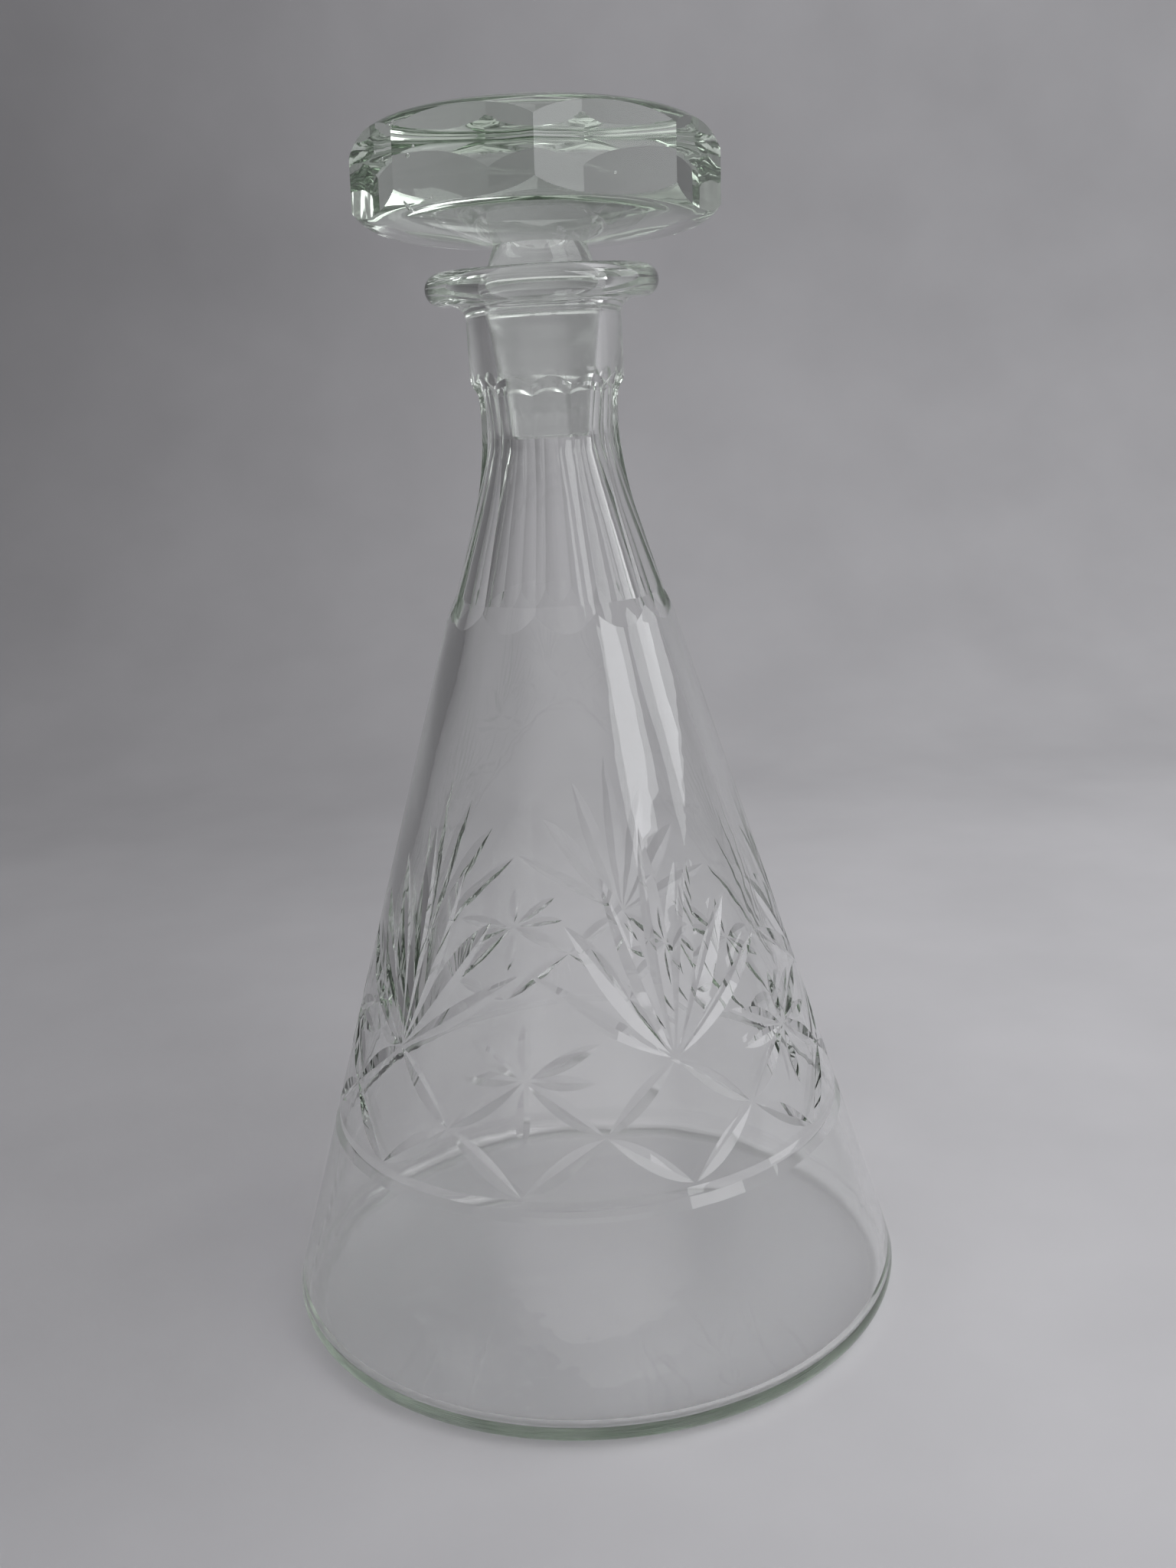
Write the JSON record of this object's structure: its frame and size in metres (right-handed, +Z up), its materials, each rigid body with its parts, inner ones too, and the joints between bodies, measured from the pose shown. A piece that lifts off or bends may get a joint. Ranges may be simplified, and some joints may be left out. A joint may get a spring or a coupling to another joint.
{
  "type": "glass decanter",
  "caption": "Conical blown glass decanter with a fluted neck, wheel-cut fans and stars round the body, and an eight-sided ground-in glass stopper that lifts out.",
  "frame": {"origin": "centre of the flat foot ring that the decanter stands on", "axes": "+Z up along the neck, -Y towards the front corner of the stopper's head"},
  "size_m": [0.1452, 0.1452, 0.2677],
  "materials": {
    "body_glass": "polished clear glass with a faint grey-green tint, cut and polished",
    "stopper_glass": "polished clear glass, its plug ground to a satin"
  },
  "bodies": {
    "vessel": {"decanter_body": "body_glass"},
    "stopper": {"stopper": "stopper_glass"}
  },
  "joints": [
    {"name": "stopper_lift", "type": "slide", "parent": "vessel", "child": "stopper", "axis": [0, 0, 1], "range_m": [0, 0.06]}
  ]
}
